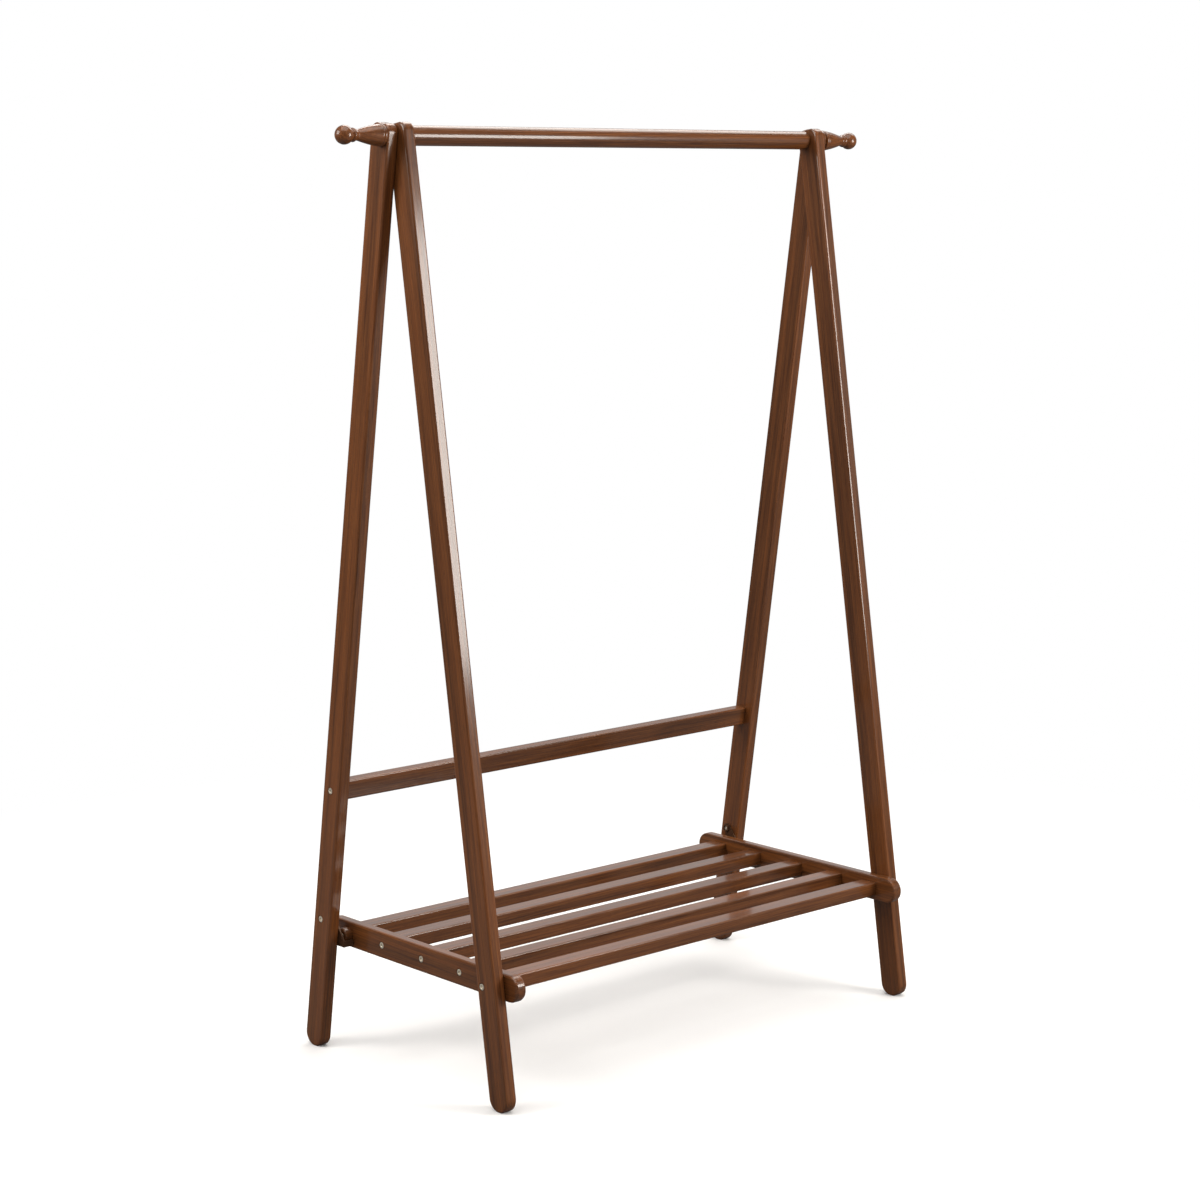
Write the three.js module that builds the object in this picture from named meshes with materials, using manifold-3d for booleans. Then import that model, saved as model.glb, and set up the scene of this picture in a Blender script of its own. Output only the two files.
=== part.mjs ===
// Folding clothes stand of stained wood: two A-shaped side frames joined by a round
// hanging rod at the top, a stretcher between the rear legs and a slatted shelf near
// the floor. Millimetres, X along the rod, Y from front (-) to rear (+), Z up, floor at 0.
import * as THREE from 'three';
import { mergeVertices } from 'three/addons/utils/BufferGeometryUtils.js';
import Module from 'manifold-3d';

const wasm = await Module();
wasm.setup();

// ---- driving sizes -------------------------------------------------------------
const frameWidth = 1020; // over the outer faces of the rear legs
const rodHeight = 1578; // rod axis above the floor
const legAngle = 0.1487; // each leg from the vertical, in radians
const legWidth = 46; // seen from the side
const legThick = 22; // along the rod
const legEdge = 3.5; // rounding of the long edges
const legShift = 7.7; // leg centre line outside the rod axis
const legTopRise = 19; // end of a leg above the rod axis
const legTopCorner = 15; // rounding of the two corners of that end
const soleTrim = 2.2; // planed off the round foot so that it stands flat
const legGap = 0.4; // between a rear leg and a front leg

const rodRadius = 16.5;
const tenonRadius = 10;
const finialScrew = 4; // radius of the double-ended screw in a finial
const finialScrewReach = 24; // into the finial, and the same into the rod

const stretcherDrop = 1121; // from the rod axis down along the leg
const stretcherShift = 3; // behind the centre line of the rear leg
const stretcherHeight = 35;
const stretcherThick = 20;

const railHeight = 46;
const railThick = 20;
const railLevel = 205; // centre of the shelf rails above the floor
const railPastPivot = 64; // from the shelf pivot to the front end
const railPastStub = 40; // from the support bolt to the rear end
const railEdge = 3.5;

const slatDepth = 36;
const slatThick = 25;
const slatEdge = 3;
const slatShares = [0, 0.2187, 0.4791, 0.7573, 1]; // places of the slats, front to rear
const buttonInset = 20; // rear slat and its spacer button before the support bolt

const pivotBelow = 1; // shelf pivot under the middle of the rails
const pivotInset = 11; // shelf pivot behind the centre line of the front leg
const stubLift = 8; // support bolt above the top of the rails
const stubShift = 4; // support bolt behind the centre line of the rear leg
const boltRadius = 4; // support bolt
const thinBolt = 3; // bolts held by barrel nuts
const headRadius = 5.4;
const headThick = 2.4;
const headRecess = 2.8; // depth of the counterbore the head sits in
const socketRadius = 2.2;
const nutRadius = 5; // barrel nuts
const nutLength = 14;
const nutInset = 26; // barrel nut from the end of its slat or stretcher
const buttonRadius = 13.5;
const buttonThick = 15;

const plateThick = 3; // sheet of the rest brackets
const eyeRadius = 9; // of a bracket round its support bolt
const seatPast = 10; // the seat goes on this far behind the middle of the button
const seatSlack = 0.5; // between the button and the lip in front of it
const lipHeight = 8; // above the seat
const seatFromRail = 2.4;
const hexRadius = 7; // nut of the support bolt, over its corners
const hexThick = 3.6;
const screwRadius = 2.4;
const plateScrewRadius = 1.7;
const plateScrewDepth = 13; // in the leg
const plateScrewAhead = 10.4; // in front of the support bolt
const plateHeadRadius = 3.2;
const plateHeadThick = 1.6;

const touch = 0.3; // gap between pieces that touch
const slide = 0.4; // gap between pieces that turn on one another
const bore = 0.35; // gap round a pin in its hole
const round = 24; // sides of a turned piece

// ---- derived positions ---------------------------------------------------------
const rearFace = frameWidth / 2;
const rearInner = rearFace - legThick;
const frontFace = rearInner - legGap;
const frontInner = frontFace - legThick;
const railFace = frontInner - slide;
const railInner = railFace - railThick;
const plateOuter = rearInner - touch;
const plateInner = plateOuter - plateThick;
const sides = [
  { name: 'left', sign: -1 },
  { name: 'right', sign: 1 },
];

function onLeg(angle, across, drop) {
  // a point of a leg given across it and down along it, in frame coordinates
  const y = across * Math.cos(angle) + drop * Math.sin(angle);
  const z = across * Math.sin(angle) - drop * Math.cos(angle) + rodHeight;
  return [y, z];
}

// the same point the other way round: across the leg and down along it
function placeOnLeg(angle, y, z) {
  const across = y * Math.cos(angle) + (z - rodHeight) * Math.sin(angle);
  const drop = y * Math.sin(angle) - (z - rodHeight) * Math.cos(angle);
  return [across, drop];
}

// how far down along a leg a point at that place across it has that height
function dropTo(angle, across, height) {
  return (rodHeight - height + across * Math.sin(angle)) / Math.cos(angle);
}

const pivotAcross = pivotInset - legShift;
const pivotDrop = dropTo(-legAngle, pivotAcross, railLevel - pivotBelow);
const [pivotY, pivotZ] = onLeg(-legAngle, pivotAcross, pivotDrop);
const stubAcross = legShift + stubShift;
const stubDrop = dropTo(legAngle, stubAcross, railLevel + railHeight / 2 + stubLift);
const [stubY, stubZ] = onLeg(legAngle, stubAcross, stubDrop);
const railFront = pivotY - railPastPivot;
const railRear = stubY + railPastStub;
const buttonY = stubY - buttonInset;
const plateScrewY = stubY - plateScrewAhead;
const plateScrewPlace = placeOnLeg(legAngle, plateScrewY, railLevel);
const slatYs = slatShares.map((share) => pivotY + share * (buttonY - pivotY));
const stretcherAcross = legShift + stretcherShift;

const footDrop = (rodHeight - legWidth / 2 + soleTrim) / Math.cos(legAngle);
const [footY] = onLeg(legAngle, legShift, footDrop);
const footReach = footY + legWidth / 2; // rearmost point of the rear legs

// ---- materials -----------------------------------------------------------------
const woodColour = 0x3a1d12;
const steelColour = 0xb9b2a4;
const darkSteelColour = 0x3b3a3a;

function wood() {
  return new THREE.MeshStandardMaterial({ color: woodColour, roughness: 0.28, metalness: 0 });
}

function steel() {
  return new THREE.MeshStandardMaterial({ color: steelColour, roughness: 0.3, metalness: 1 });
}

function darkSteel() {
  return new THREE.MeshStandardMaterial({ color: darkSteelColour, roughness: 0.45, metalness: 1 });
}

// ---- solid helpers -------------------------------------------------------------
function toSolid(geometry) {
  const plain = geometry.clone();
  plain.deleteAttribute('normal');
  plain.deleteAttribute('uv');
  const merged = mergeVertices(plain, 1e-4);
  const vertProperties = new Float32Array(merged.attributes.position.array);
  const triVerts = new Uint32Array(merged.index.array);
  return new wasm.Manifold(new wasm.Mesh({ numProp: 3, vertProperties, triVerts }));
}

function toGeometry(solid) {
  const mesh = solid.getMesh();
  const geometry = new THREE.BufferGeometry();
  geometry.setAttribute('position', new THREE.BufferAttribute(mesh.vertProperties, 3));
  geometry.setIndex(new THREE.BufferAttribute(mesh.triVerts, 1));
  geometry.computeVertexNormals();
  return geometry;
}

function cutFrom(geometry, tools) {
  let solid = toSolid(geometry);
  for (const tool of tools) {
    solid = solid.subtract(toSolid(tool));
  }
  return toGeometry(solid);
}

function joined(geometries) {
  let solid = toSolid(geometries[0]);
  for (const piece of geometries.slice(1)) {
    solid = solid.add(toSolid(piece));
  }
  return toGeometry(solid);
}

// a side view drawn in (Y, Z) and extruded along X, centred on x = 0
function sideBoard(shape, thick, edge, steps, bevelSteps) {
  const geometry = new THREE.ExtrudeGeometry(shape, {
    depth: thick - 2 * edge,
    bevelEnabled: true,
    bevelThickness: edge,
    bevelSize: edge,
    bevelOffset: -edge,
    bevelSegments: bevelSteps,
    curveSegments: steps,
  });
  geometry.translate(0, 0, -(thick - 2 * edge) / 2);
  return sideways(geometry);
}

// turns a drawing in X-Y extruded along Z into one in Y-Z extruded along X
function sideways(geometry) {
  const turn = new THREE.Matrix4().makeBasis(
    new THREE.Vector3(0, 1, 0),
    new THREE.Vector3(0, 0, 1),
    new THREE.Vector3(1, 0, 0),
  );
  geometry.applyMatrix4(turn);
  return geometry;
}

function roundedRectangle(width, height, corner, lowerCorner = corner) {
  const w = width / 2;
  const h = height / 2;
  const shape = new THREE.Shape();
  shape.moveTo(-w + lowerCorner, -h);
  shape.lineTo(w - lowerCorner, -h);
  shape.absarc(w - lowerCorner, -h + lowerCorner, lowerCorner, -Math.PI / 2, 0, false);
  shape.lineTo(w, h - corner);
  shape.absarc(w - corner, h - corner, corner, 0, Math.PI / 2, false);
  shape.lineTo(-w + corner, h);
  shape.absarc(-w + corner, h - corner, corner, Math.PI / 2, Math.PI, false);
  shape.lineTo(-w, -h + lowerCorner);
  shape.absarc(-w + lowerCorner, -h + lowerCorner, lowerCorner, Math.PI, 1.5 * Math.PI, false);
  return shape;
}

// a bar of rounded section lying along X
function bar(length, shape, steps) {
  const geometry = new THREE.ExtrudeGeometry(shape, {
    depth: length,
    bevelEnabled: false,
    curveSegments: steps,
  });
  geometry.translate(0, 0, -length / 2);
  return sideways(geometry);
}

// a straight round piece along X between two X values, at (y, z)
function roundX(radius, x0, x1, y, z, facets = round) {
  const geometry = new THREE.CylinderGeometry(radius, radius, Math.abs(x1 - x0), facets);
  geometry.rotateZ(-Math.PI / 2);
  geometry.translate((x0 + x1) / 2, y, z);
  return geometry;
}

// a turned piece: profile of [radius, distance] pairs along +X
function turned(profile, facets = round) {
  const points = profile.map(([radius, along]) => new THREE.Vector2(radius, along));
  const geometry = new THREE.LatheGeometry(points, facets);
  geometry.rotateZ(-Math.PI / 2);
  return geometry;
}

function mesh(name, geometry, material) {
  const piece = new THREE.Mesh(geometry, material);
  piece.name = name;
  return piece;
}

// ---- assembly groups -----------------------------------------------------------
const stand = new THREE.Group();
stand.name = 'kimono_stand';
const rearFrame = new THREE.Group();
rearFrame.name = 'rear_frame';
const frontFrame = new THREE.Group();
frontFrame.name = 'front_frame';
const shelf = new THREE.Group();
shelf.name = 'shelf';
stand.add(rearFrame, frontFrame, shelf);

// ---- legs ----------------------------------------------------------------------
// Drawn upright round the rod axis; lean is +1 for the rear legs and -1 for the front.
// holes lists [across, drop, radius] for each bolt, and pits does so for the small
// screws in the inner face.
function legGeometry(lean, side, holes, pits) {
  const half = legWidth / 2;
  const middle = lean * legShift;
  const corner = legTopCorner;
  const shape = new THREE.Shape();
  shape.moveTo(middle + half, -footDrop);
  shape.lineTo(middle + half, legTopRise - corner);
  shape.absarc(middle + half - corner, legTopRise - corner, corner, 0, Math.PI / 2, false);
  shape.lineTo(middle - half + corner, legTopRise);
  shape.absarc(middle - half + corner, legTopRise - corner, corner, Math.PI / 2, Math.PI, false);
  shape.lineTo(middle - half, -footDrop);
  shape.absarc(middle, -footDrop, half, Math.PI, 2 * Math.PI, false);
  const board = sideBoard(shape, legThick, legEdge, 8, 3);
  const sole = new THREE.BoxGeometry(legThick * 2, rodHeight * 2, legWidth);
  sole.translate(0, 0, -rodHeight - legWidth / 2);
  sole.rotateX(-lean * legAngle);
  const tools = [sole, roundX(tenonRadius + bore, -legThick, legThick, 0, 0)];
  const outer = (side * legThick) / 2;
  for (const [across, drop, radius] of holes) {
    tools.push(roundX(radius + bore, -legThick, legThick, across, -drop, 16));
    tools.push(roundX(headRadius + 1, outer - side * headRecess, outer + side * 4, across, -drop, 20));
  }
  for (const [across, drop, radius] of pits) {
    const end = side * (plateScrewDepth + 1) - outer;
    tools.push(roundX(radius + bore, -outer - side * 2, end, across, -drop, 12));
  }
  return cutFrom(board, tools);
}

for (const { name, sign } of sides) {
  const rearLeg = mesh(`${name}_rear_leg`, legGeometry(1, sign, [
    [stretcherAcross, stretcherDrop, thinBolt],
    [stubAcross, stubDrop, boltRadius],
  ], [
    [...plateScrewPlace, plateScrewRadius],
  ]), wood());
  rearLeg.position.set(sign * (rearInner + legThick / 2), 0, rodHeight);
  rearLeg.rotation.x = legAngle;
  rearFrame.add(rearLeg);

  const frontLeg = mesh(`${name}_front_leg`, legGeometry(-1, sign, [
    [pivotAcross, pivotDrop, thinBolt],
  ], []), wood());
  frontLeg.position.set(sign * (frontInner + legThick / 2), 0, rodHeight);
  frontLeg.rotation.x = -legAngle;
  frontFrame.add(frontLeg);
}

// ---- hanging rod and finials ---------------------------------------------------
const rodShoulder = frontInner - slide;
const rodEnd = rearFace - touch;
const rodBody = cutFrom(
  joined([
    roundX(rodRadius, -rodShoulder, rodShoulder, 0, 0, 32),
    roundX(tenonRadius, -rodEnd, rodEnd, 0, 0, round),
  ]),
  sides.map(({ sign }) => (
    roundX(finialScrew + bore, sign * (rodEnd - finialScrewReach - 1), sign * (rodEnd + 5), 0, 0, 16)
  )),
);
const rod = mesh('hanging_rod', rodBody, wood());
rod.position.z = rodHeight;
rearFrame.add(rod);

// radius and distance from the leg: base ring, bead, long taper, neck and ball
const finialTaper = [
  [0, touch],
  [16.6, touch],
  [18.2, 2],
  [18.4, 4.6],
  [17.6, 6.8],
  [17.8, 8.2],
  [17.2, 12.6],
  [15.6, 22.8],
  [13.4, 33],
  [11, 42.6],
  [9.4, 48.6],
  [8.9, 52.2],
  [9.9, 54.8],
  [11.2, 57],
  [11.4, 59],
  [10.6, 61],
  [9.6, 62.4],
];
const ballRadius = 15.5;
const ballCentre = 75;
const ballSteps = 8;

function finialProfile() {
  const profile = finialTaper.slice();
  const start = Math.asin(finialTaper.at(-1)[0] / ballRadius);
  for (let i = 1; i <= ballSteps; i += 1) {
    const turn = start + ((Math.PI - start) * i) / ballSteps;
    const radius = i === ballSteps ? 0 : ballRadius * Math.sin(turn);
    profile.push([radius, ballCentre - ballRadius * Math.cos(turn)]);
  }
  return profile;
}

for (const { name, sign } of sides) {
  const hole = roundX(finialScrew + bore, -1, finialScrewReach + 1, 0, 0, 16);
  const finial = mesh(`${name}_finial`, cutFrom(turned(finialProfile(), 24), [hole]), wood());
  finial.rotation.z = sign < 0 ? Math.PI : 0;
  finial.position.set(sign * rearFace, 0, rodHeight);
  rearFrame.add(finial);

  const screw = mesh(
    `${name}_finial_screw`,
    roundX(finialScrew, -finialScrewReach, finialScrewReach, 0, 0, 14),
    steel(),
  );
  screw.position.set(sign * rearFace, 0, rodHeight);
  rearFrame.add(screw);
}

// ---- bolts with a hexagon socket and barrel nuts -------------------------------
// Drawn for the right side: the head faces +X, the shank runs towards -X.
function boltGeometry(headFace, shankEnd, radius) {
  const head = roundX(headRadius, headFace - headThick, headFace, 0, 0, 20);
  const shank = roundX(radius, shankEnd, headFace - headThick / 2, 0, 0, 16);
  const socket = roundX(socketRadius, headFace - 1.5, headFace + 2, 0, 0, 6);
  return cutFrom(joined([head, shank]), [socket]);
}

function addBolt(group, name, sign, headFace, shankEnd, radius, y, z) {
  const bolt = mesh(name, boltGeometry(headFace, shankEnd, radius), steel());
  bolt.rotation.z = sign < 0 ? Math.PI : 0;
  bolt.position.set(0, y, z);
  group.add(bolt);
}

// a barrel nut standing along Z at the origin, drilled across for its bolt
function nutGeometry() {
  const barrel = new THREE.CylinderGeometry(nutRadius, nutRadius, nutLength, 20);
  barrel.rotateX(Math.PI / 2);
  return cutFrom(barrel, [roundX(thinBolt + bore, -nutRadius * 2, nutRadius * 2, 0, 0, 16)]);
}

// the blind hole a barrel nut is pushed into, open at the far end along -Z
function nutHole(x, thickness) {
  const length = thickness / 2 + nutLength / 2 + touch + 2;
  const hole = new THREE.CylinderGeometry(nutRadius + bore, nutRadius + bore, length, 20);
  hole.rotateX(Math.PI / 2);
  hole.translate(x, 0, nutLength / 2 + touch - length / 2);
  return hole;
}

const headFaceRear = rearFace - headRecess + headThick + touch;
const headFaceFront = frontFace - headRecess + headThick + touch;
const headFaceRail = railFace - headRecess + headThick + touch;

// ---- stretcher -----------------------------------------------------------------
const [stretcherY, stretcherZ] = onLeg(legAngle, stretcherAcross, stretcherDrop);
const stretcherEnd = rearInner - touch;
const stretcherNut = stretcherEnd - nutInset;
const boltPast = nutRadius + 3; // how far a bolt goes past the middle of its nut
const stretcherTools = [];
for (const { sign } of sides) {
  const tip = sign * (stretcherNut - boltPast - 1);
  stretcherTools.push(roundX(thinBolt + bore, tip, sign * (stretcherEnd + 5), 0, 0, 16));
  stretcherTools.push(nutHole(sign * stretcherNut, stretcherThick).rotateX(Math.PI / 2));
}
const stretcher = mesh('rear_stretcher', cutFrom(
  bar(2 * stretcherEnd, roundedRectangle(stretcherThick, stretcherHeight, slatEdge), 4),
  stretcherTools,
), wood());
stretcher.position.set(0, stretcherY, stretcherZ);
stretcher.rotation.x = legAngle;
rearFrame.add(stretcher);

for (const { name, sign } of sides) {
  const tip = stretcherNut - boltPast;
  const bolt = `${name}_stretcher_bolt`;
  addBolt(rearFrame, bolt, sign, headFaceRear, tip, thinBolt, stretcherY, stretcherZ);
  const nut = mesh(`${name}_stretcher_nut`, nutGeometry(), steel());
  nut.position.set(sign * stretcherNut, stretcherY, stretcherZ);
  nut.rotation.x = Math.PI / 2 + legAngle;
  rearFrame.add(nut);
}

// ---- rest brackets inside the rear legs -----------------------------------------
// The spacer button of the shelf lies in the seat of the bracket, behind its lip.
const buttonInner = railFace + touch;
const buttonOuter = buttonInner + buttonThick;
const seatTop = railLevel - buttonRadius - touch;
const seatLow = seatTop - plateThick;
const seatRear = buttonY + seatPast;
const lipFront = buttonY - buttonRadius - seatSlack - plateThick;
const seatInner = railFace + seatFromRail;
const hexOuter = plateInner - touch;
const hexInner = hexOuter - hexThick;

function boxBetween(x0, x1, y0, y1, z0, z1) {
  const geometry = new THREE.BoxGeometry(Math.abs(x1 - x0), y1 - y0, z1 - z0);
  geometry.translate((x0 + x1) / 2, (y0 + y1) / 2, (z0 + z1) / 2);
  return geometry;
}

function bracketGeometry(sign) {
  const shape = new THREE.Shape();
  shape.moveTo(lipFront, seatLow);
  shape.lineTo(seatRear, seatLow);
  shape.lineTo(stubY + eyeRadius, stubZ);
  shape.absarc(stubY, stubZ, eyeRadius, 0, 0.8 * Math.PI, false);
  shape.lineTo(lipFront, seatTop + lipHeight);
  const sheet = new THREE.ExtrudeGeometry(shape, {
    depth: plateThick,
    bevelEnabled: false,
    curveSegments: 10,
  });
  sideways(sheet);
  sheet.translate((sign * (plateInner + plateOuter) - plateThick) / 2, 0, 0);
  const inner = sign * seatInner;
  const outer = sign * plateOuter;
  const lipRear = lipFront + plateThick;
  const seat = boxBetween(inner, outer, lipFront, seatRear, seatLow, seatTop);
  const lip = boxBetween(inner, outer, lipFront, lipRear, seatLow, seatTop + lipHeight);
  const past = sign * (plateInner - 2);
  return cutFrom(joined([sheet, seat, lip]), [
    roundX(boltRadius + bore, past, outer + sign * 2, stubY, stubZ, 16),
    roundX(plateScrewRadius + bore, past, outer + sign * 2, plateScrewY, railLevel, 12),
  ]);
}

for (const { name, sign } of sides) {
  const turn = sign < 0 ? Math.PI : 0;
  const bolt = `${name}_support_bolt`;
  addBolt(rearFrame, bolt, sign, headFaceRear, hexInner - slide, boltRadius, stubY, stubZ);

  const nut = mesh(`${name}_support_nut`, cutFrom(
    roundX(hexRadius, hexInner, hexOuter, 0, 0, 6),
    [roundX(boltRadius + bore, hexInner - 2, hexOuter + 2, 0, 0, 16)],
  ), darkSteel());
  nut.rotation.z = turn;
  nut.position.set(0, stubY, stubZ);
  rearFrame.add(nut);

  rearFrame.add(mesh(`${name}_rest_bracket`, bracketGeometry(sign), darkSteel()));

  const screw = mesh(`${name}_bracket_screw`, joined([
    roundX(plateScrewRadius, hexOuter - 1, rearInner + plateScrewDepth, 0, 0, 12),
    roundX(plateHeadRadius, hexOuter - plateHeadThick, hexOuter, 0, 0, 14),
  ]), darkSteel());
  screw.rotation.z = turn;
  screw.position.set(0, plateScrewY, railLevel);
  rearFrame.add(screw);
}

// ---- shelf rails ---------------------------------------------------------------
const railScrewYs = slatYs.slice(1, -1);
const slatScrewReach = 28; // of a screw in the end of its slat
const slatScrewEnd = railInner - slatScrewReach;
const railMiddle = (railFace + railInner) / 2;

function railGeometry(sign) {
  const shape = new THREE.Shape();
  const half = railHeight / 2;
  shape.absarc(railRear - half, railLevel, half, -Math.PI / 2, Math.PI / 2, false);
  shape.absarc(railFront + half, railLevel, half, Math.PI / 2, 1.5 * Math.PI, false);
  const board = sideBoard(shape, railThick, railEdge, 9, 2);
  board.translate(sign * railMiddle, 0, 0);
  const inner = sign * (railInner - 2);
  const outer = sign * (railFace + 2);
  const tools = [
    roundX(thinBolt + bore, inner, outer, pivotY, pivotZ, 16),
    roundX(screwRadius + bore, inner, outer, buttonY, railLevel, 14),
  ];
  for (const y of railScrewYs) {
    tools.push(roundX(screwRadius + bore, inner, outer, y, railLevel, 14));
    tools.push(roundX(headRadius + 1, sign * (railFace - headRecess), outer, y, railLevel, 20));
  }
  return cutFrom(board, tools);
}

for (const { name, sign } of sides) {
  shelf.add(mesh(`${name}_shelf_rail`, railGeometry(sign), wood()));

  railScrewYs.forEach((y, i) => {
    const screw = `${name}_slat_screw_${i + 2}`;
    addBolt(shelf, screw, sign, headFaceRail, slatScrewEnd, screwRadius, y, railLevel);
  });

  const tip = railInner - touch - nutInset - boltPast;
  addBolt(shelf, `${name}_pivot_bolt`, sign, headFaceFront, tip, thinBolt, pivotY, pivotZ);
  const nut = mesh(`${name}_pivot_nut`, nutGeometry(), steel());
  nut.position.set(sign * (railInner - touch - nutInset), pivotY, pivotZ);
  shelf.add(nut);
}

// ---- spacer buttons on the rear slat screws ------------------------------------
const headFaceButton = buttonOuter - headRecess + headThick + touch;

for (const { name, sign } of sides) {
  const button = mesh(`${name}_spacer_button`, cutFrom(
    turned([
      [0, 0],
      [buttonRadius, 0],
      [buttonRadius, buttonThick - 2.4],
      [buttonRadius - 0.8, buttonThick - 0.8],
      [buttonRadius - 2.4, buttonThick],
      [0, buttonThick],
    ], 28).translate(buttonInner, 0, 0),
    [
      roundX(screwRadius + bore, buttonInner - 2, buttonOuter + 2, 0, 0, 14),
      roundX(headRadius + 1, buttonOuter - headRecess, buttonOuter + 2, 0, 0, 20),
    ],
  ), wood());
  button.rotation.z = sign < 0 ? Math.PI : 0;
  button.position.set(0, buttonY, railLevel);
  shelf.add(button);
  const screw = `${name}_button_screw`;
  addBolt(shelf, screw, sign, headFaceButton, slatScrewEnd, screwRadius, buttonY, railLevel);
}

// ---- slats ---------------------------------------------------------------------
const slatEnd = railInner - touch;
slatYs.forEach((y, i) => {
  const level = i === 0 ? pivotZ : railLevel;
  const tools = [];
  for (const { sign } of sides) {
    const radius = i === 0 ? thinBolt : screwRadius;
    const reach = i === 0 ? nutInset + boltPast + 1 : slatEnd - slatScrewEnd + 1;
    tools.push(roundX(radius + bore, sign * (slatEnd - reach), sign * (slatEnd + 5), 0, 0, 16));
    if (i === 0) {
      tools.push(nutHole(sign * (slatEnd - nutInset), slatThick));
    }
  }
  const section = roundedRectangle(slatDepth, slatThick, slatEdge);
  const slat = mesh(`shelf_slat_${i + 1}`, cutFrom(bar(2 * slatEnd, section, 4), tools), wood());
  slat.position.set(0, y, level);
  shelf.add(slat);
});

// the origin lies on the floor under the middle of the overall box
stand.position.y = -(railFront + footReach) / 2;

export default stand;
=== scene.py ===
"""Looks of the folding kimono stand: stained and lacquered wood, steel fasteners, white studio.

Metres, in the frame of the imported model: X along the rod, Y to the rear legs, Z up.
"""
import math
import bmesh
import bpy
from mathutils import Matrix, Vector


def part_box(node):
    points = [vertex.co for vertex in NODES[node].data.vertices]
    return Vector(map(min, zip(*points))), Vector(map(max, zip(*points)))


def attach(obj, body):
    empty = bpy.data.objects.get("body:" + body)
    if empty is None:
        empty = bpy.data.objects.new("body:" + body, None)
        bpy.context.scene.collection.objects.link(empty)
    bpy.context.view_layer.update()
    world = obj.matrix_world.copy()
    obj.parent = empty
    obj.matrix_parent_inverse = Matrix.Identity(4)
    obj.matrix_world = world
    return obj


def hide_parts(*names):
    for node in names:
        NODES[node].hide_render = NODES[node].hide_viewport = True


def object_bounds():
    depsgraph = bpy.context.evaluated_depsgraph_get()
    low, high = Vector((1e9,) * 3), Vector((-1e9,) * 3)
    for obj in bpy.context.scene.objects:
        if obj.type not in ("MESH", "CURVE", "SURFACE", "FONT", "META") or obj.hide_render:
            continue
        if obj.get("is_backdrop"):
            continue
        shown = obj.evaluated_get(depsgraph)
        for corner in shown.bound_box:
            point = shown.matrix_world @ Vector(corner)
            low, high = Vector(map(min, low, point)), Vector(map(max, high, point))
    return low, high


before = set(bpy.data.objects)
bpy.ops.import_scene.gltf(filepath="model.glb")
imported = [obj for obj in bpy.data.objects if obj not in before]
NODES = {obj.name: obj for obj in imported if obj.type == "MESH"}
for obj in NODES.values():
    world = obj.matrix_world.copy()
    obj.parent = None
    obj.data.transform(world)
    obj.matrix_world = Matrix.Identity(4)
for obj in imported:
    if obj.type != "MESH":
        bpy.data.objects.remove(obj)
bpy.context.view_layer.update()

# ---- sizes taken from the frame ------------------------------------------------
MM = 0.001
ROD_Y = (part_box("hanging_rod")[0][1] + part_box("hanging_rod")[1][1]) / 2
ROD_Z = (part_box("hanging_rod")[0][2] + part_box("hanging_rod")[1][2]) / 2
LEG_ANGLE = 0.1487
REAR_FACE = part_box("right_rear_leg")[1][0]
SIDES = (("left", -1), ("right", 1))


def linear(code):
    """sRGB hex to a linear RGBA colour."""
    out = []
    for i in (0, 2, 4):
        c = int(code[i:i + 2], 16) / 255
        out.append(c / 12.92 if c <= 0.04045 else ((c + 0.055) / 1.055) ** 2.4)
    return (*out, 1.0)


# ---- node helpers --------------------------------------------------------------
def add(tree, kind, links=(), **values):
    """A node of that kind. values set its properties, links its inputs by name or index."""
    node = tree.nodes.new(kind)
    for key, value in values.items():
        setattr(node, key, value)
    for socket, value in links:
        target = node.inputs[socket]
        if isinstance(value, bpy.types.NodeSocket):
            tree.links.new(value, target)
        else:
            target.default_value = value
    return node


def math_node(tree, operation, a, b=0.0):
    return add(tree, "ShaderNodeMath", ((0, a), (1, b)), operation=operation).outputs[0]


def noise(tree, vector, scale, detail, rough=0.5):
    node = add(tree, "ShaderNodeTexNoise", (
        ("Vector", vector), ("Scale", scale), ("Detail", detail), ("Roughness", rough)))
    return node.outputs[0]


def ranged(tree, value, low, high, to_low=0.0, to_high=1.0):
    node = add(tree, "ShaderNodeMapRange", (
        ("Value", value), ("From Min", low), ("From Max", high),
        ("To Min", to_low), ("To Max", to_high)), clamp=True)
    return node.outputs[0]


def mixed(tree, factor, a, b):
    """Colour a, turned into colour b by the factor."""
    return add(tree, "ShaderNodeMix", ((0, factor), (6, a), (7, b)), data_type="RGBA").outputs[2]


def stretched(tree, vector, scale):
    return add(tree, "ShaderNodeMapping", (("Vector", vector), ("Scale", scale))).outputs[0]


def material(name):
    made = bpy.data.materials.new(name)
    made.use_nodes = True
    made.node_tree.nodes.clear()
    return made, made.node_tree


def finish_material(tree, **inputs):
    """Principled surface with those inputs, sent to the output."""
    links = [(key.replace("_", " "), value) for key, value in inputs.items()]
    shader = add(tree, "ShaderNodeBsdfPrincipled", links)
    add(tree, "ShaderNodeOutputMaterial", (("Surface", shader.outputs[0]),))


# ---- materials -----------------------------------------------------------------
WOOD_DARK = linear("43220D")
WOOD_MID = linear("723F1B")
WOOD_LIGHT = linear("A0632E")
PORE = linear("2A150B")
RING_WIDTH = 3.2 * MM
RING_WANDER = 0.028  # metres that the rings wander along the grain
RING_SHARPNESS = 2.2
# noise scales: twice across the grain, then along it
WANDER_SCALE = (9.0, 9.0, 1.4)
FIBRE_SCALE = (620.0, 620.0, 11.0)
STREAK_SCALE = (95.0, 95.0, 1.1)
CLOUD_SCALE = (7.0, 7.0, 1.6)
PORE_SCALE = (1500.0, 1500.0, 55.0)
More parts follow.
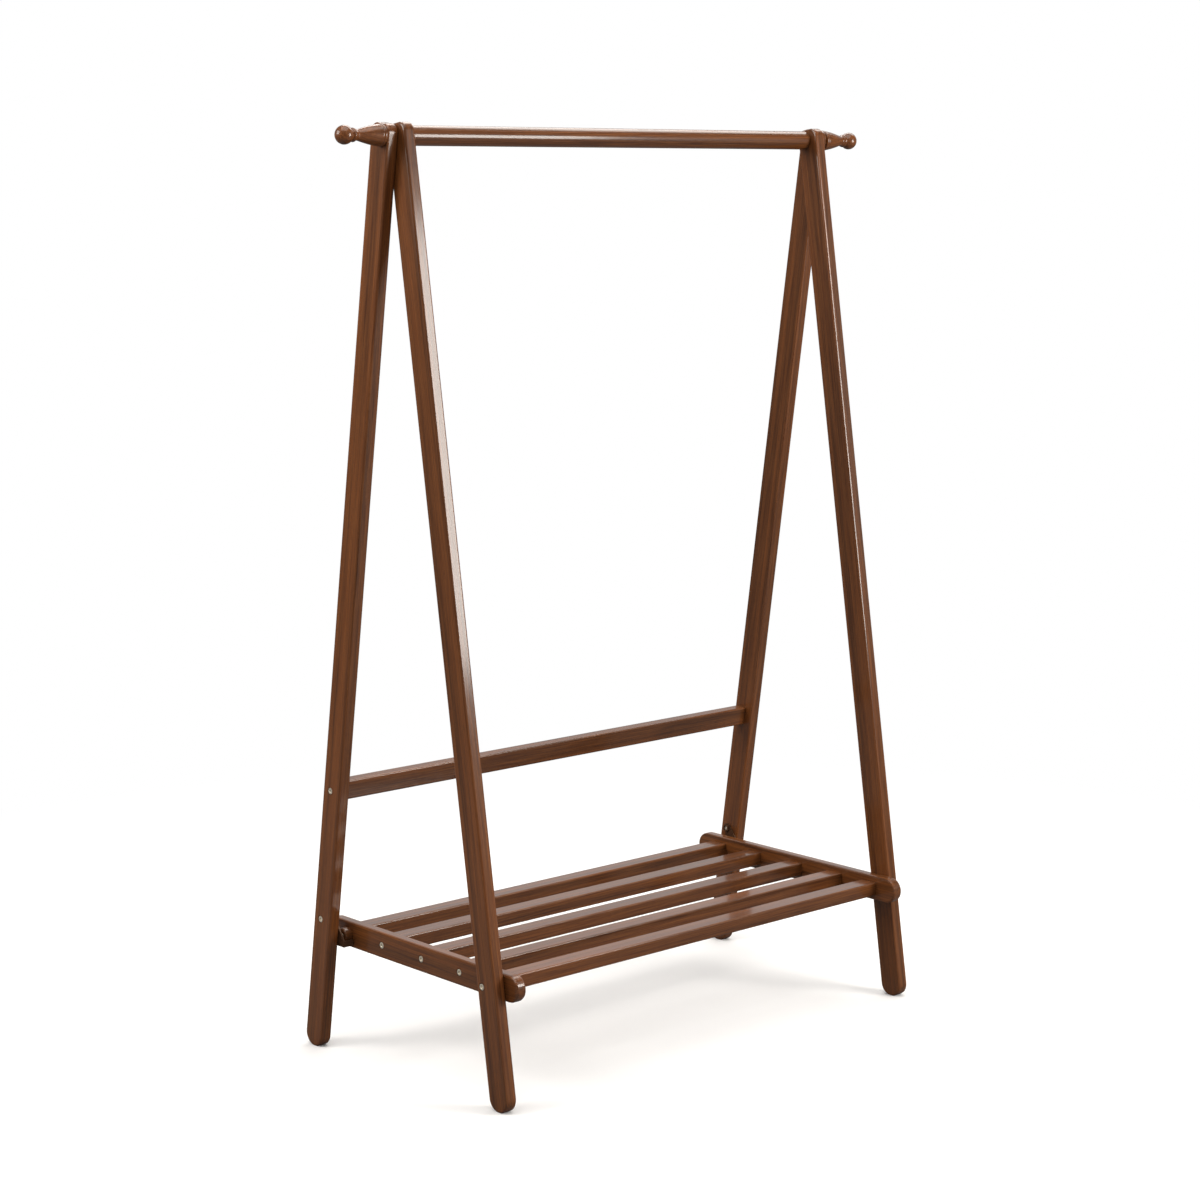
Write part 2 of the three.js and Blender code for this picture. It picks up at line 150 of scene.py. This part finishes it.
# how far each layer takes over from the colour under it
FIBRE_SHARE = 0.45
RING_SHARE = 0.30
PORE_SHARE = 0.55


def stained_wood(name, turn, shift, tone=1.0):
    """Stained, lacquered hardwood.

    turn brings the grain onto local Z, and shift picks the cut of the tree.
    """
    made, tree = material(name)
    place = add(tree, "ShaderNodeTexCoord").outputs["Object"]
    turned = add(tree, "ShaderNodeMapping", (("Vector", place), ("Rotation", turn))).outputs[0]
    grain = add(tree, "ShaderNodeMapping", (("Vector", turned), ("Location", shift))).outputs[0]

    # growth rings round a pith outside the board, wandering along the grain
    wander = noise(tree, stretched(tree, grain, WANDER_SCALE), 1.0, 2.0)
    flat = stretched(tree, grain, (1.0, 1.0, 0.02))
    far = add(tree, "ShaderNodeVectorMath", ((0, flat),), operation="LENGTH").outputs["Value"]
    wavy = math_node(tree, "ADD", far, math_node(tree, "MULTIPLY", wander, RING_WANDER))
    phase = math_node(tree, "MULTIPLY", wavy, 2 * math.pi / RING_WIDTH)
    ring = math_node(tree, "MULTIPLY_ADD", math_node(tree, "SINE", phase), 0.5)
    ring.node.inputs[2].default_value = 0.5
    late = math_node(tree, "POWER", ring, RING_SHARPNESS)

    # fibres a fraction of a millimetre wide, some centimetres long
    fibre = noise(tree, stretched(tree, grain, FIBRE_SCALE), 1.0, 4.0, 0.6)
    streak = noise(tree, stretched(tree, grain, STREAK_SCALE), 1.0, 3.0, 0.55)
    cloud = noise(tree, stretched(tree, grain, CLOUD_SCALE), 1.0, 2.0)
    pores = noise(tree, stretched(tree, grain, PORE_SCALE), 1.0, 2.0, 0.5)
    pore = ranged(tree, pores, 0.60, 0.70)

    base = mixed(tree, ranged(tree, streak, 0.36, 0.64), WOOD_DARK, WOOD_MID)
    lit = math_node(tree, "MULTIPLY", ranged(tree, fibre, 0.35, 0.75), FIBRE_SHARE)
    base = mixed(tree, lit, base, WOOD_LIGHT)
    base = mixed(tree, math_node(tree, "MULTIPLY", late, RING_SHARE), base, WOOD_DARK)
    base = mixed(tree, math_node(tree, "MULTIPLY", pore, PORE_SHARE), base, PORE)
    value = math_node(tree, "MULTIPLY", ranged(tree, cloud, 0.3, 0.7, 0.88, 1.14), tone)
    base = add(tree, "ShaderNodeHueSaturation", (("Value", value), ("Color", base))).outputs[0]

    rough = ranged(tree, fibre, 0.3, 0.7, 0.36, 0.50)
    height = math_node(tree, "SUBTRACT", math_node(tree, "MULTIPLY", fibre, 0.25), pore)
    skin = noise(tree, place, 240.0, 2.0)
    height = math_node(tree, "ADD", height, math_node(tree, "MULTIPLY", skin, 0.5))
    bump = add(tree, "ShaderNodeBump", (
        ("Height", height), ("Strength", 0.35), ("Distance", 0.10 * MM))).outputs[0]
    finish_material(
        tree, Base_Color=base, Roughness=rough, Normal=bump, Specular_IOR_Level=0.25,
        Coat_Weight=0.85, Coat_Roughness=0.13, Coat_IOR=1.5)
    return made


def steel(name, colour, low, high, metal):
    """Turned or brushed metal with fine scratches and a slightly uneven finish."""
    made, tree = material(name)
    place = add(tree, "ShaderNodeTexCoord").outputs["Object"]
    scratch = noise(tree, stretched(tree, place, (300.0, 2600.0, 2600.0)), 1.0, 3.0, 0.6)
    patch = noise(tree, place, 320.0, 2.0)
    colour_dim = tuple(0.72 * c for c in colour[:3]) + (1.0,)
    base = mixed(tree, ranged(tree, patch, 0.35, 0.7), colour, colour_dim)
    rough = ranged(tree, scratch, 0.3, 0.7, low, high)
    bump = add(tree, "ShaderNodeBump", (
        ("Height", scratch), ("Strength", 0.25), ("Distance", 0.02 * MM))).outputs[0]
    finish_material(tree, Base_Color=base, Metallic=metal, Roughness=rough, Normal=bump)
    return made


# ---- mesh helpers --------------------------------------------------------------
def piece(name, mesh_data, body, finish, replaced):
    """A finished object at the origin that stands for CAD nodes and rides on their body."""
    made = bpy.data.objects.new(name, mesh_data)
    bpy.context.scene.collection.objects.link(made)
    mesh_data.materials.append(finish)
    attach(made, body)
    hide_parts(*replaced)
    return made


def soften(target, angle=40.0):
    """Smooth shading with crisp edges, flats kept flat by face area."""
    data = target.data
    data.polygons.foreach_set("use_smooth", [True] * len(data.polygons))
    data.set_sharp_from_angle(angle=math.radians(angle))
    weighted = target.modifiers.new("flat_faces", "WEIGHTED_NORMAL")
    weighted.weight = 90
    weighted.keep_sharp = True


def lathe(rings, segments, origin, sign):
    """Mesh turned about X. rings lists (radius or function of angle, distance) pairs."""
    bm = bmesh.new()
    loops = []
    for radius, along in rings:
        x = origin[0] + sign * along
        if radius == 0:
            loops.append([bm.verts.new((x, origin[1], origin[2]))])
            continue
        loop = []
        for i in range(segments):
            angle = 2 * math.pi * i / segments
            r = radius(angle) if callable(radius) else radius
            y = origin[1] + r * math.cos(angle)
            z = origin[2] + r * math.sin(angle)
            loop.append(bm.verts.new((x, y, z)))
        loops.append(loop)
    for a, b in zip(loops, loops[1:]):
        for i in range(segments):
            j = (i + 1) % segments
            corners = [a[i % len(a)], a[j % len(a)], b[j % len(b)], b[i % len(b)]]
            unique = list(dict.fromkeys(corners))
            if len(unique) > 2:
                bm.faces.new(unique)
    bmesh.ops.recalc_face_normals(bm, faces=bm.faces)
    data = bpy.data.meshes.new("turned")
    bm.to_mesh(data)
    bm.free()
    return data


def curved(points, steps):
    """Catmull-Rom curve through (radius, distance) points."""
    out = []
    last = len(points) - 1
    for i in range(last):
        p0, p1, p2, p3 = (points[max(0, min(last, k))] for k in (i - 1, i, i + 1, i + 2))
        for s in range(steps):
            t = s / steps
            out.append(tuple(
                0.5 * (2 * b + (c - a) * t + (2 * a - 5 * b + 4 * c - d) * t * t
                       + (3 * b - a - 3 * c + d) * t ** 3)
                for a, b, c, d in zip(p0, p1, p2, p3)))
    out.append(points[-1])
    return out


# ---- wood: the CAD boards keep their shape --------------------------------------
ALONG_X = (0.0, math.radians(-90), 0.0)
ALONG_Y = (math.radians(90), 0.0, 0.0)
REAR_GRAIN = (-LEG_ANGLE, 0.0, 0.0)
FRONT_GRAIN = (LEG_ANGLE, 0.0, 0.0)

BOARDS = {
    "left_rear_leg": (REAR_GRAIN, (0.60, 0.05, 0.3), 1.06),
    "left_front_leg": (FRONT_GRAIN, (0.55, 0.12, 1.7), 1.02),
    "right_front_leg": (FRONT_GRAIN, (-0.41, 0.06, 2.9), 0.98),
    "right_rear_leg": (REAR_GRAIN, (-0.57, 0.02, 4.1), 0.96),
    "rear_stretcher": (ALONG_X, (0.54, -0.11, 0.8), 0.98),
    "left_shelf_rail": (ALONG_Y, (0.50, 0.28, 2.2), 0.98),
    "right_shelf_rail": (ALONG_Y, (-0.38, 0.27, 5.2), 0.98),
    "left_spacer_button": (ALONG_X, (0.2, 0.2, 0.5), 0.9),
    "right_spacer_button": (ALONG_X, (0.2, 0.22, 0.9), 0.9),
    "shelf_slat_1": (ALONG_X, (0.25, 0.24, 0.1), 1.0),
    "shelf_slat_2": (ALONG_X, (0.26, 0.15, 1.3), 1.03),
    "shelf_slat_3": (ALONG_X, (0.24, 0.08, 2.4), 0.97),
    "shelf_slat_4": (ALONG_X, (0.27, -0.05, 3.6), 1.02),
    "shelf_slat_5": (ALONG_X, (0.25, -0.16, 4.4), 0.99),
}


def set_material(node, finish):
    data = node.data
    data.materials.clear()
    data.materials.append(finish)


for node_name, (turn, shift, tone) in BOARDS.items():
    board = NODES[node_name]
    set_material(board, stained_wood(f"stained_wood_{node_name}", turn, shift, tone))
    soften(board)

# ---- rod and finials ------------------------------------------------------------
ROD_RADIUS = 16.5 * MM
TENON_RADIUS = 10 * MM
ROD_EDGE = 0.6 * MM
SHOULDER_GAP = 0.4 * MM
ROD_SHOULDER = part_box("right_front_leg")[0][0] - SHOULDER_GAP
ROD_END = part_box("hanging_rod")[1][0]

rod_finish = stained_wood("stained_wood_rod", ALONG_X, (1.62, 0.03, 0.4), 1.04)
rod_rings = [
    (0, -ROD_END), (TENON_RADIUS, -ROD_END), (TENON_RADIUS, -ROD_SHOULDER),
    (ROD_RADIUS - ROD_EDGE, -ROD_SHOULDER), (ROD_RADIUS, -ROD_SHOULDER + ROD_EDGE),
    (ROD_RADIUS, ROD_SHOULDER - ROD_EDGE), (ROD_RADIUS - ROD_EDGE, ROD_SHOULDER),
    (TENON_RADIUS, ROD_SHOULDER), (TENON_RADIUS, ROD_END), (0, ROD_END),
]
rod = piece(
    "rod_turned", lathe(rod_rings, 72, (0, ROD_Y, ROD_Z), 1),
    "rear_frame", rod_finish, ["hanging_rod"])
soften(rod, 35)

# finial profile in millimetres: radius, and distance from the leg's outer face
BASE = [
    (0, 0.3), (16.2, 0.3), (17.4, 0.9), (18.2, 2.0), (18.5, 3.6), (18.3, 5.2), (17.7, 6.6),
    (17.4, 7.2),
]
TAPER = [
    (17.4, 7.2), (17.8, 8.4), (17.2, 12.6), (15.6, 22.8), (13.4, 33), (11, 42.6), (9.4, 48.6),
    (8.9, 52.2),
]
COLLAR = [(8.9, 52.2), (9.9, 54.8), (11.2, 57), (11.5, 59), (10.6, 61), (9.6, 62.4)]
BALL_RADIUS = 15.5
BALL_CENTRE = 75
BALL_STEPS = 24
CURVE_STEPS = 4


def finial_rings():
    """Base, taper and collar, then the ball from the collar's last ring to its tip."""
    rings = BASE + curved(TAPER, CURVE_STEPS)[1:] + curved(COLLAR, CURVE_STEPS)[1:]
    start = math.asin(COLLAR[-1][0] / BALL_RADIUS)
    for i in range(1, BALL_STEPS + 1):
        turn = start + (math.pi - start) * i / BALL_STEPS
        radius = 0 if i == BALL_STEPS else BALL_RADIUS * math.sin(turn)
        rings.append((radius, BALL_CENTRE - BALL_RADIUS * math.cos(turn)))
    return [(r * MM, x * MM) for r, x in rings]


for side, sign in SIDES:
    cut = (1.60 + 0.01 * sign, 0.04, 2.0 * sign)
    finish = stained_wood(f"stained_wood_{side}_finial", ALONG_X, cut, 1.03)
    shape = lathe(finial_rings(), 64, (sign * REAR_FACE, ROD_Y, ROD_Z), sign)
    finial = piece(
        f"finial_turned_{side}", shape, "rear_frame", finish, [f"{side}_finial"])
    soften(finial, 50)

# ---- fasteners ------------------------------------------------------------------
bright = steel("zinc_plated_steel", linear("F4EAD6"), 0.3, 0.45, 0.5)
bronzed = steel("bronzed_steel", linear("5F3F28"), 0.45, 0.6, 0.35)
# millimetres
HEAD_RADIUS = 5.4
HEAD_THICK = 2.4
HEAD_EDGE = 0.45  # rounding of the head's rim
HEAD_EDGE_MIDDLE = 0.13  # how far its middle stays inside the corner
SOCKET_DEPTH = 1.5
SOCKET_FLATS = 2.3
SOCKET_EDGE = 0.25
SUPPORT_HIDDEN = 2.5  # the support bolt's shank ends this much earlier, inside its nut
HEX_STEP = math.pi / 3


def hexagon(angle):
    """Radius of a hexagon at that angle."""
    part = (angle + HEX_STEP / 2) % HEX_STEP - HEX_STEP / 2
    return SOCKET_FLATS * MM / math.cos(part)


def bolt_rings(shank_radius, length):
    """From the bottom of the socket out to the head and down the shank, 0 at the head's face."""
    r = HEAD_RADIUS * MM
    edge = HEAD_EDGE * MM
    middle = HEAD_EDGE_MIDDLE * MM
    bevel = SOCKET_EDGE * MM
    return [
        (0, -SOCKET_DEPTH * MM), (hexagon, -SOCKET_DEPTH * MM), (hexagon, -bevel),
        (lambda a: hexagon(a) + bevel, 0), (r - edge, 0), (r - middle, -middle),
        (r, -edge), (r, -HEAD_THICK * MM), (shank_radius, -HEAD_THICK * MM),
        (shank_radius, -length), (0, -length),
    ]


# body, and shank radius in millimetres
BOLTS = {
    "stretcher_bolt": ("rear_frame", 3.0), "support_bolt": ("rear_frame", 4.0),
    "pivot_bolt": ("shelf", 3.0), "slat_screw_2": ("shelf", 2.4),
    "slat_screw_3": ("shelf", 2.4), "slat_screw_4": ("shelf", 2.4),
    "button_screw": ("shelf", 2.4),
}
for side, sign in SIDES:
    for kind, (body, shank_radius) in BOLTS.items():
        node_name = f"{side}_{kind}"
        low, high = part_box(node_name)
        face = high[0] if sign > 0 else low[0]
        centre = ((low[1] + high[1]) / 2, (low[2] + high[2]) / 2)
        hidden = SUPPORT_HIDDEN * MM if kind == "support_bolt" else 0
        rings = bolt_rings(shank_radius * MM, high[0] - low[0] - hidden)
        shape = lathe(rings, 48, (face, *centre), sign)
        bolt = piece(f"{kind}_head_{side}", shape, body, bright, [node_name])
        soften(bolt, 30)

    for kind in ("finial_screw", "stretcher_nut", "pivot_nut"):
        set_material(NODES[f"{side}_{kind}"], bright)
        soften(NODES[f"{side}_{kind}"])
    for kind in ("rest_bracket", "support_nut", "bracket_screw"):
        set_material(NODES[f"{side}_{kind}"], bronzed)
        soften(NODES[f"{side}_{kind}"])

# ---- studio ---------------------------------------------------------------------
FLOOR_HALF = 12.0
FLOOR_SEEN = linear("FAFAFA")  # by the camera
FLOOR_LIT = linear("6A6A6A")  # by all other rays, so that it throws little light back
FADE_FROM, FADE_TO = 1.0, 2.2  # metres from the middle, where the seen floor turns white
SKY_SEEN = 1.0
SKY_DIFFUSE = 0.55
SKY_TOWARD = (0.685, 0.728, 0.0)  # the side that reflections show bright
SKY_TURN = (0.5, 0.85)  # cosines between which they go from dim to bright
SKY_GLOSSY = (0.05, 0.65)  # dim and bright
LIGHT_COLOUR = (1.0, 0.955, 0.9)


def plain_mesh(name, corners, faces):
    data = bpy.data.meshes.new(name)
    data.from_pydata(corners, [], faces)
    made = bpy.data.objects.new(name, data)
    bpy.context.scene.collection.objects.link(made)
    return made


floor = plain_mesh("studio_floor", [
    (-FLOOR_HALF, -FLOOR_HALF, 0), (FLOOR_HALF, -FLOOR_HALF, 0),
    (FLOOR_HALF, FLOOR_HALF, 0), (-FLOOR_HALF, FLOOR_HALF, 0)], [(0, 1, 2, 3)])
pale, pale_tree = material("pale_floor")
floor_path = add(pale_tree, "ShaderNodeLightPath")
floor_colour = mixed(pale_tree, floor_path.outputs["Is Camera Ray"], FLOOR_LIT, FLOOR_SEEN)
near = add(pale_tree, "ShaderNodeBsdfDiffuse", (("Color", floor_colour),)).outputs[0]
away = add(
    pale_tree, "ShaderNodeEmission", (("Color", (1, 1, 1, 1)), ("Strength", 1.0))).outputs[0]
spot = add(pale_tree, "ShaderNodeTexCoord").outputs["Object"]
reach = add(pale_tree, "ShaderNodeVectorMath", ((0, spot),), operation="LENGTH").outputs["Value"]
fade = math_node(
    pale_tree, "MULTIPLY", ranged(pale_tree, reach, FADE_FROM, FADE_TO),
    floor_path.outputs["Is Camera Ray"])
blend = add(pale_tree, "ShaderNodeMixShader", ((0, fade), (1, near), (2, away))).outputs[0]
add(pale_tree, "ShaderNodeOutputMaterial", (("Surface", blend),))
floor.data.materials.append(pale)
floor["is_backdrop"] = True

# white for the camera, dimmer for diffuse light, and bright in reflections on one side only
world = bpy.data.worlds.new("studio")
bpy.context.scene.world = world
world.use_nodes = True
sky = world.node_tree
sky.nodes.clear()
path = add(sky, "ShaderNodeLightPath")
way = add(sky, "ShaderNodeTexCoord").outputs["Generated"]
toward = add(
    sky, "ShaderNodeVectorMath", ((0, way), (1, SKY_TOWARD)), operation="DOT_PRODUCT")
glossy = ranged(sky, toward.outputs["Value"], *SKY_TURN, *SKY_GLOSSY)
strength = add(sky, "ShaderNodeMix", (
    (0, path.outputs["Is Glossy Ray"]), (2, SKY_DIFFUSE), (3, glossy)),
    data_type="FLOAT").outputs[0]
strength = add(sky, "ShaderNodeMix", (
    (0, path.outputs["Is Camera Ray"]), (2, strength), (3, SKY_SEEN)),
    data_type="FLOAT").outputs[0]
light = add(sky, "ShaderNodeBackground", (("Color", (1, 1, 1, 1)), ("Strength", strength)))
add(sky, "ShaderNodeOutputWorld", (("Surface", light.outputs[0]),))


def area_light(name, place, aim, width, height, power):
    data = bpy.data.lights.new(name, "AREA")
    data.shape = "RECTANGLE"
    data.size = width
    data.size_y = height
    data.energy = power
    data.color = LIGHT_COLOUR
    made = bpy.data.objects.new(name, data)
    made.location = place
    made.rotation_euler = (Vector(aim) - Vector(place)).to_track_quat("-Z", "Y").to_euler()
    bpy.context.scene.collection.objects.link(made)


area_light("soft_top", (-0.6, -0.6, 4.2), (0, 0, 0.6), 3.2, 3.2, 72)
area_light("soft_left", (-2.3, 0.9, 2.3), (-0.4, 0, 1.2), 1.2, 1.2, 34)
area_light("soft_front_right", (1.4, -2.45, 1.5), (-0.47, -0.1, 1.1), 1.1, 1.25, 58)
area_light("soft_behind", (1.8, 1.2, 3.7), (0, 0, 1.5), 3.2, 1.4, 55)

# ---- camera ---------------------------------------------------------------------
PHOTO = 1200.0  # pixels across the photograph
FOCAL = 2620.57  # pixels
YAW, PITCH, ROLL = 0.7117, -0.1591, -0.0062
CENTRE = (550.3, 615.3)
EYE = (-3098.9, -3408.0, 1482.0)  # millimetres, from the floor under the rod's middle
SENSOR_WIDTH = 36.0  # millimetres

level = math.cos(PITCH)
ahead = Vector((math.sin(YAW) * level, math.cos(YAW) * level, math.sin(PITCH)))
right = Vector((math.cos(YAW), -math.sin(YAW), 0))
up = right.cross(ahead)
across = right * math.cos(ROLL) + up * math.sin(ROLL)
above = up * math.cos(ROLL) - right * math.sin(ROLL)
lens = bpy.data.cameras.new("camera")
lens.sensor_width = SENSOR_WIDTH
lens.lens = FOCAL / PHOTO * SENSOR_WIDTH
lens.shift_x = (PHOTO / 2 - CENTRE[0]) / PHOTO
lens.shift_y = (CENTRE[1] - PHOTO / 2) / PHOTO
camera = bpy.data.objects.new("camera", lens)
eye = Vector(EYE) * MM + Vector((0, ROD_Y, 0))
camera.matrix_world = Matrix((
    (across.x, above.x, -ahead.x, eye.x),
    (across.y, above.y, -ahead.y, eye.y),
    (across.z, above.z, -ahead.z, eye.z),
    (0, 0, 0, 1)))
bpy.context.scene.collection.objects.link(camera)
bpy.context.scene.camera = camera
bpy.context.scene.view_settings.view_transform = "Standard"

low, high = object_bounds()
